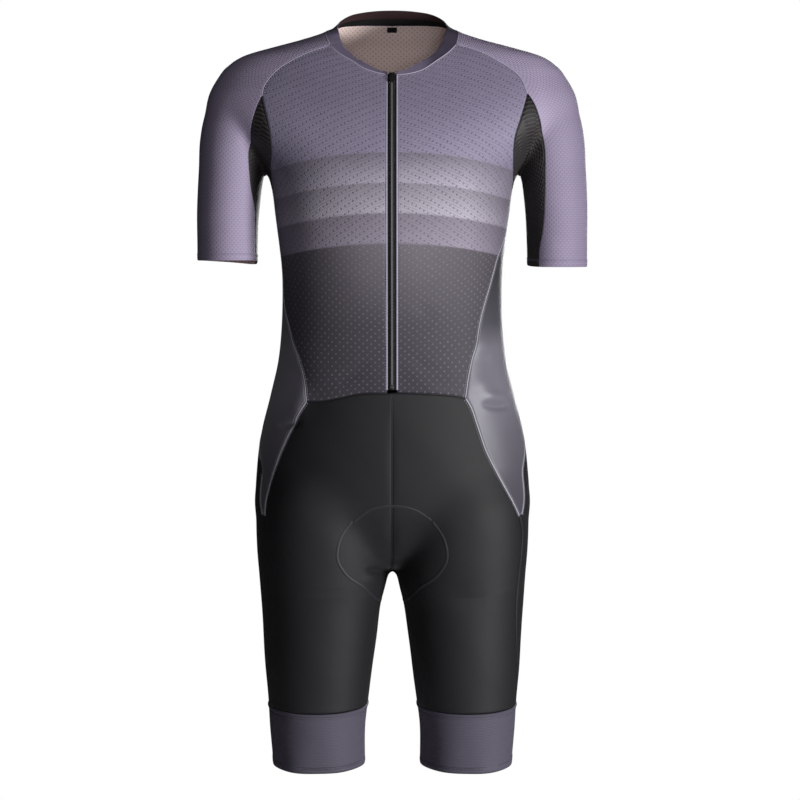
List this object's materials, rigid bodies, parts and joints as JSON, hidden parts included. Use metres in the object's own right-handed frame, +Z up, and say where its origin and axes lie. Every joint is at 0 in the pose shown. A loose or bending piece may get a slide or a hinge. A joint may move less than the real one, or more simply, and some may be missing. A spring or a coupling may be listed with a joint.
{
  "type": "short sleeve cycling skinsuit",
  "caption": "One-piece cycling skinsuit with raglan short sleeves, a low collar, a front zip, mesh underarms, side panels and padded shorts, filled out as if worn.",
  "frame": {"origin": "Between the shoulders, on the middle plane, level with the shoulder line where the wearer carries the garment.", "axes": "+Z up towards the neck, -Y the way the front with the zip faces, +X towards the wearer's left."},
  "size_m": [0.502, 0.2405, 0.9842],
  "materials": {
    "front_knit": "fine stretch knit with tonal bands, purple grey to charcoal",
    "back_knit": "perforated stretch knit, purple grey",
    "sleeve_knit": "fine ribbed stretch knit, mauve grey",
    "black_mesh": "black open mesh",
    "side_knit": "smooth grey stretch knit with a slight sheen",
    "collar_knit": "folded stretch knit, purple grey",
    "maroon_facing": "soft dark maroon facing",
    "black_tape": "woven black tape",
    "black_label": "woven black label, blank",
    "shorts_knit": "smooth matt black stretch knit",
    "band_knit": "fine ribbed elastic knit, grey purple",
    "pad_cover": "soft moulded pad cover",
    "zip_tape": "woven black tape",
    "zip_coil": "dark green grey nylon coil",
    "black_metal": "black enamelled zinc"
  },
  "bodies": {
    "garment": {"front_left": "front_knit", "front_right": "front_knit", "back": "back_knit", "sleeve_left": "sleeve_knit", "sleeve_right": "sleeve_knit", "underarm_left": "black_mesh", "underarm_right": "black_mesh", "side_left": "side_knit", "side_right": "side_knit", "collar": "collar_knit", "collar_facing": "maroon_facing", "neck_tape": "black_tape", "neck_label": "black_label", "shorts_front_left": "shorts_knit", "shorts_front_right": "shorts_knit", "shorts_back_left": "shorts_knit", "shorts_back_right": "shorts_knit", "leg_band_left": "band_knit", "leg_band_right": "band_knit", "pad": "pad_cover", "zip_tape_left": "zip_tape", "zip_tape_right": "zip_tape", "zip_coil": "zip_coil", "zip_slider": "black_metal"},
    "pull": {"zip_pull": "black_metal"}
  },
  "joints": [
    {"name": "pull_hinge", "type": "hinge", "parent": "garment", "child": "pull", "pos_m": [0, -0.07444, -0.05146], "axis": [-1, 0, 0], "range_deg": [0, 150]}
  ]
}
